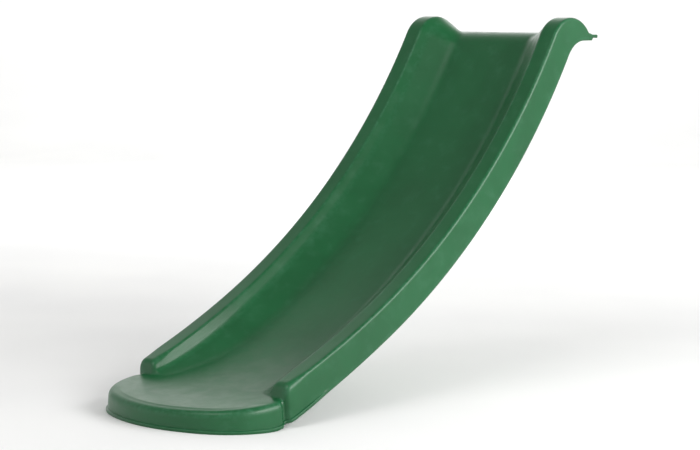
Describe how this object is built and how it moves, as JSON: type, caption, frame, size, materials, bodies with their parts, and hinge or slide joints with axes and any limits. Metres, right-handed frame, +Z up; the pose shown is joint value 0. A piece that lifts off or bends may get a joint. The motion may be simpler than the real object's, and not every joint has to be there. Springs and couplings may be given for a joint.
{
  "type": "straight slide",
  "caption": "Straight children's slide with a hollow double wall, raised side rails, a rounded foot and a lip that screws to a low platform.",
  "frame": {"origin": "on the ground, under the middle of the slide's box", "axes": "+X across the slide, +Y back from the foot towards the lip, +Z up"},
  "size_m": [0.3684, 0.9522, 0.642],
  "materials": {
    "slide_plastic": "satin moulded polyethylene",
    "zinc_steel": "zinc plated",
    "cap_plastic": "satin moulded polyethylene"
  },
  "bodies": {
    "root": {"upper_skin": "slide_plastic", "lower_skin": "slide_plastic", "fixing_screws": "zinc_steel", "screw_washers": "zinc_steel", "screw_caps": "cap_plastic"}
  },
  "joints": []
}
